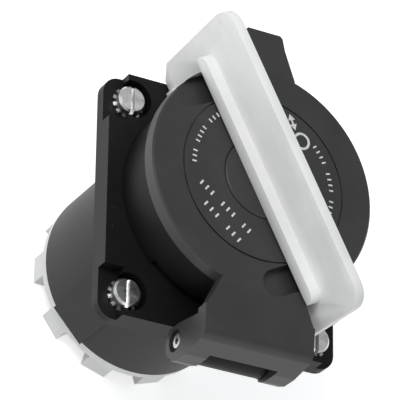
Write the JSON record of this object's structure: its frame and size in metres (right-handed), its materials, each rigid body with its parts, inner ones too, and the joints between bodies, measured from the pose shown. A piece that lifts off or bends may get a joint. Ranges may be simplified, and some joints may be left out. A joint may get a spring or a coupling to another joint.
{
  "type": "industrial panel socket",
  "caption": "Flanged round panel socket for a two-pin plug, with a sprung hinged lid and a turning locking bail across it.",
  "frame": {"origin": "on the socket's axis, in the plane of the panel, which is the rear face of the flange gasket", "axes": "+Z along the socket's axis, out of the panel's front; +Y towards the lid's lifting tab, with the hinge at -Y; +X to the right seen from the front"},
  "size_m": [0.075, 0.0992, 0.1035],
  "materials": {
    "black_moulding": "satin thermoplastic, dark charcoal",
    "black_rubber": "soft matt rubber",
    "bright_steel": "zinc-plated steel",
    "spring_steel": "spring steel",
    "white_moulding": "pale moulded plastic",
    "brass": "turned brass"
  },
  "bodies": {
    "base": {"housing": "black_moulding", "plug_collar": "black_moulding", "rear_cup": "black_moulding", "flange_gasket": "black_rubber", "mounting_screws": "bright_steel", "lock_washers": "spring_steel", "hinge_pin": "bright_steel", "hinge_spring": "spring_steel", "contact_insert": "white_moulding", "contact_carrier": "white_moulding", "carrier_seal": "black_rubber", "carrier_screws": "bright_steel", "contact_sleeves": "brass", "sleeve_rings": "spring_steel", "terminal_clamps": "brass", "terminal_screws": "bright_steel", "wire_clamps": "spring_steel"},
    "lid": {"lid": "black_moulding", "lid_seal": "black_rubber", "pivot_bush": "brass"},
    "bail": {"bail": "white_moulding", "bail_hub": "black_moulding", "pivot_bolt": "bright_steel", "wave_washer": "spring_steel", "hub_gasket": "black_rubber"}
  },
  "joints": [
    {"name": "lid_hinge", "type": "hinge", "parent": "base", "child": "lid", "pos_m": [0, -0.0458, 0.0105], "axis": [1, 0, 0], "range_deg": [0, 105], "stiffness_Nm_per_rad": 0.05, "springref_deg": -51.57},
    {"name": "bail_turn", "type": "hinge", "parent": "lid", "child": "bail", "pos_m": [0, 0, 0.03], "axis": [0, 0, 1], "range_deg": [0, 20]}
  ]
}
